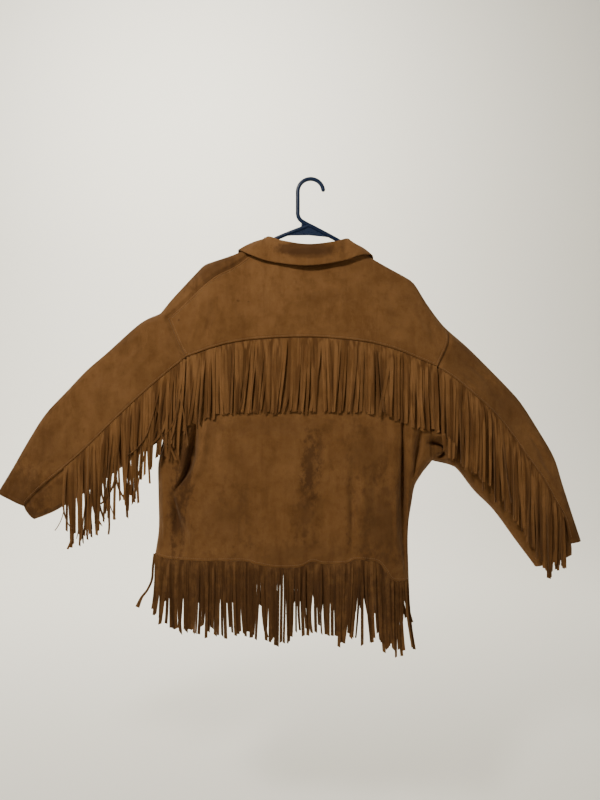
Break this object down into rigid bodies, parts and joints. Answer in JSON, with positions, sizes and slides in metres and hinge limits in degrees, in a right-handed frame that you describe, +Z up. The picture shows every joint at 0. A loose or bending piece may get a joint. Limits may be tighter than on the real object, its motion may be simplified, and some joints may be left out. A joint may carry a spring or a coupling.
{
  "type": "fringed buckskin jacket on a hanger",
  "caption": "Fringed suede western jacket with a turned-down collar, hung with its sleeves spread from a tubular plastic coat hanger.",
  "frame": {"origin": "inner top of the hanger's hook, where the hook rests on its peg", "axes": "+Z up; -Y is the side that the jacket's back faces; +X is the wearer's right, to the right of someone who looks at the back"},
  "size_m": [1.223, 0.1015, 0.9807],
  "materials": {
    "suede": "brown napped suede, matt, a little mottled and soiled",
    "fringe": "strands cut from the same suede",
    "hanger": "navy moulded plastic with a soft gloss"
  },
  "bodies": {
    "root": {"back_yoke": "suede", "back_body": "suede", "front_left": "suede", "front_right": "suede", "top_sleeve_left": "suede", "top_sleeve_right": "suede", "under_sleeve_left": "suede", "under_sleeve_right": "suede", "collar": "suede", "yoke_fringe": "fringe", "sleeve_fringe_left": "fringe", "sleeve_fringe_right": "fringe", "hem_fringe_back": "fringe", "hem_fringe_front_left": "fringe", "hem_fringe_front_right": "fringe", "loose_strand": "fringe", "hanger": "hanger"}
  },
  "joints": []
}
